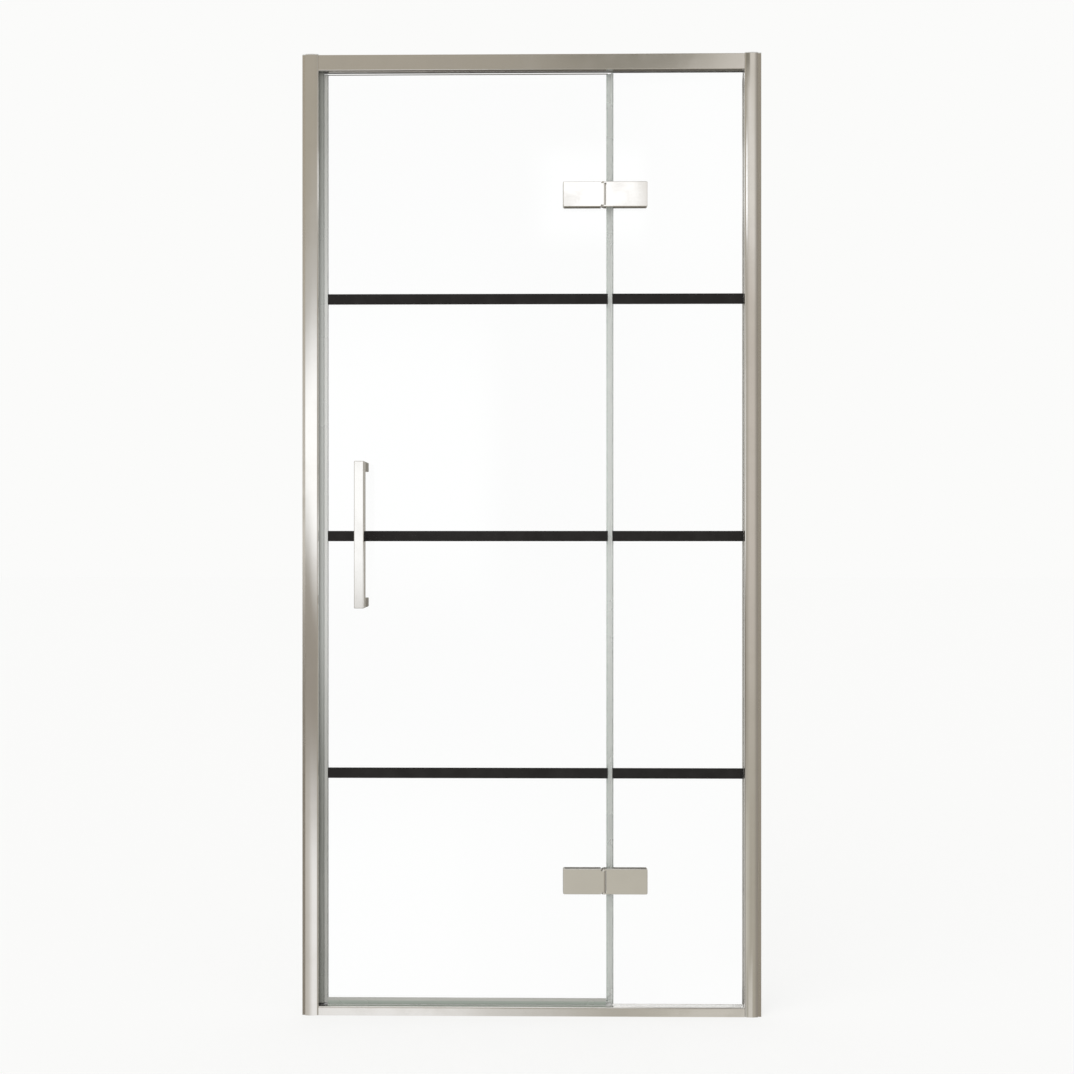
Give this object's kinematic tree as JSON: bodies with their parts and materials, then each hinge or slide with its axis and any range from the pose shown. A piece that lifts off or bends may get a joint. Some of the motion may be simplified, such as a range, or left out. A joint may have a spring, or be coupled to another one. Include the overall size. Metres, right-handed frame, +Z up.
{
  "type": "hinged shower door",
  "caption": "Framed shower screen with a clear glass door hinged to an in-line fixed pane, black glazing bars, polished frame, magnetic strike seal and square pull handle.",
  "frame": {"origin": "centre of the sill's underside, midway between the two wall faces, on the mid-plane of the glass", "axes": "+X to the right seen from the room, from the strike side to the fixed pane; +Y into the shower; +Z up"},
  "size_m": [0.906, 0.0752, 1.9],
  "materials": {
    "frame_metal": "polished and bright anodised, warm nickel tone",
    "channel_metal": "satin anodised",
    "hinge_metal": "polished, warm nickel tone",
    "handle_metal": "polished, warm nickel tone",
    "screw_steel": "plain stainless steel",
    "clear_glass": "clear toughened safety glass",
    "black_bar": "matt black",
    "clear_seal": "translucent soft plastic",
    "magnet_strip": "magnet-filled rubber strip",
    "gasket_rubber": "grey rubber",
    "foot_rubber": "black rubber",
    "soft_pad": "translucent grey gasket sheet",
    "nylon": "natural nylon",
    "grey_plastic": "moulded grey plastic",
    "cap_metal": "polished, warm nickel tone"
  },
  "bodies": {
    "frame": {"fixed_glass": "clear_glass", "header_infill": "grey_plastic", "header_rail": "frame_metal", "header_screws": "screw_steel", "lower_hinge_panel_backplate": "hinge_metal", "lower_hinge_panel_leaf": "hinge_metal", "lower_hinge_panel_pads": "soft_pad", "lower_hinge_panel_screws": "screw_steel", "lower_hinge_pin": "screw_steel", "panel_bar_lower": "black_bar", "panel_bar_middle": "black_bar", "panel_bar_upper": "black_bar", "panel_edge_seal": "clear_seal", "panel_gasket_header": "gasket_rubber", "panel_gasket_post": "gasket_rubber", "panel_gasket_sill": "gasket_rubber", "panel_post": "frame_metal", "panel_post_cap": "grey_plastic", "panel_post_screws": "screw_steel", "sill_infill": "grey_plastic", "sill_rail": "frame_metal", "sill_screws": "screw_steel", "strike_magnet": "magnet_strip", "strike_post": "frame_metal", "strike_post_cap": "grey_plastic", "strike_post_screws": "screw_steel", "strike_seal": "clear_seal", "strike_seal_foot": "foot_rubber", "upper_hinge_panel_backplate": "hinge_metal", "upper_hinge_panel_leaf": "hinge_metal", "upper_hinge_panel_pads": "soft_pad", "upper_hinge_panel_screws": "screw_steel", "upper_hinge_pin": "screw_steel", "wall_channel_left": "channel_metal", "wall_channel_right": "channel_metal"},
    "door": {"door_bar_lower": "black_bar", "door_bar_middle": "black_bar", "door_bar_upper": "black_bar", "door_glass": "clear_glass", "door_magnet": "magnet_strip", "door_magnet_seal": "clear_seal", "drip_seal": "clear_seal", "handle_bar": "handle_metal", "handle_bushes": "nylon", "handle_caps": "cap_metal", "handle_posts": "handle_metal", "handle_screws": "screw_steel", "handle_washers": "nylon", "lower_hinge_bushes": "nylon", "lower_hinge_door_backplate": "hinge_metal", "lower_hinge_door_leaf": "hinge_metal", "lower_hinge_door_pads": "soft_pad", "lower_hinge_door_screws": "screw_steel", "upper_hinge_bushes": "nylon", "upper_hinge_door_backplate": "hinge_metal", "upper_hinge_door_leaf": "hinge_metal", "upper_hinge_door_pads": "soft_pad", "upper_hinge_door_screws": "screw_steel"}
  },
  "joints": [
    {"name": "door_swing", "type": "hinge", "parent": "frame", "child": "door", "pos_m": [0.1426, -0.0105, 0.94375], "axis": [0, 0, 1], "range_deg": [0, 95]}
  ]
}
